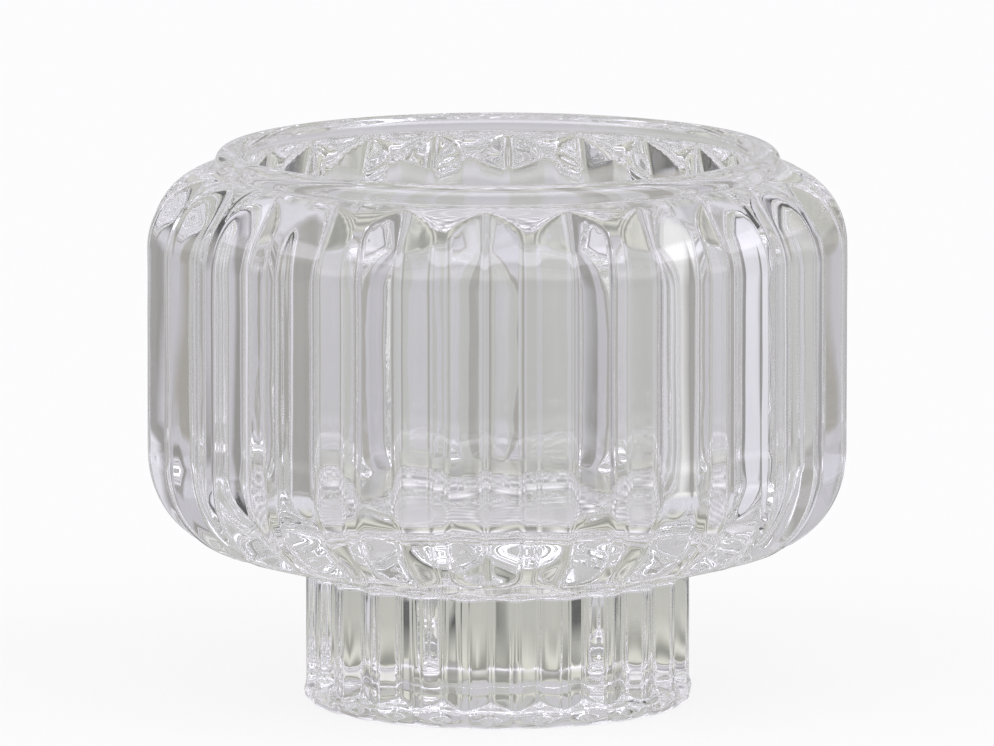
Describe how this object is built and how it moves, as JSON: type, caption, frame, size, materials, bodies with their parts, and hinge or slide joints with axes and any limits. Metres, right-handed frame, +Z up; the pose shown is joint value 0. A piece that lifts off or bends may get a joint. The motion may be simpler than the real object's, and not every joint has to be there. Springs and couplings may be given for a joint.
{
  "type": "fluted glass candle holder",
  "caption": "Clear pressed-glass candle holder: a wide fluted drum bowl with a smooth shoulder and rounded rim, on a short fluted foot.",
  "frame": {"origin": "middle of the flat ring on which the foot stands", "axes": "+Z up along the axis of the bowl, +X and +Y through the crests of two flutes"},
  "size_m": [0.09, 0.09, 0.0714],
  "materials": {
    "clear_glass": "clear, fire-polished"
  },
  "bodies": {
    "root": {"foot": "clear_glass", "bowl": "clear_glass", "rim": "clear_glass"}
  },
  "joints": []
}
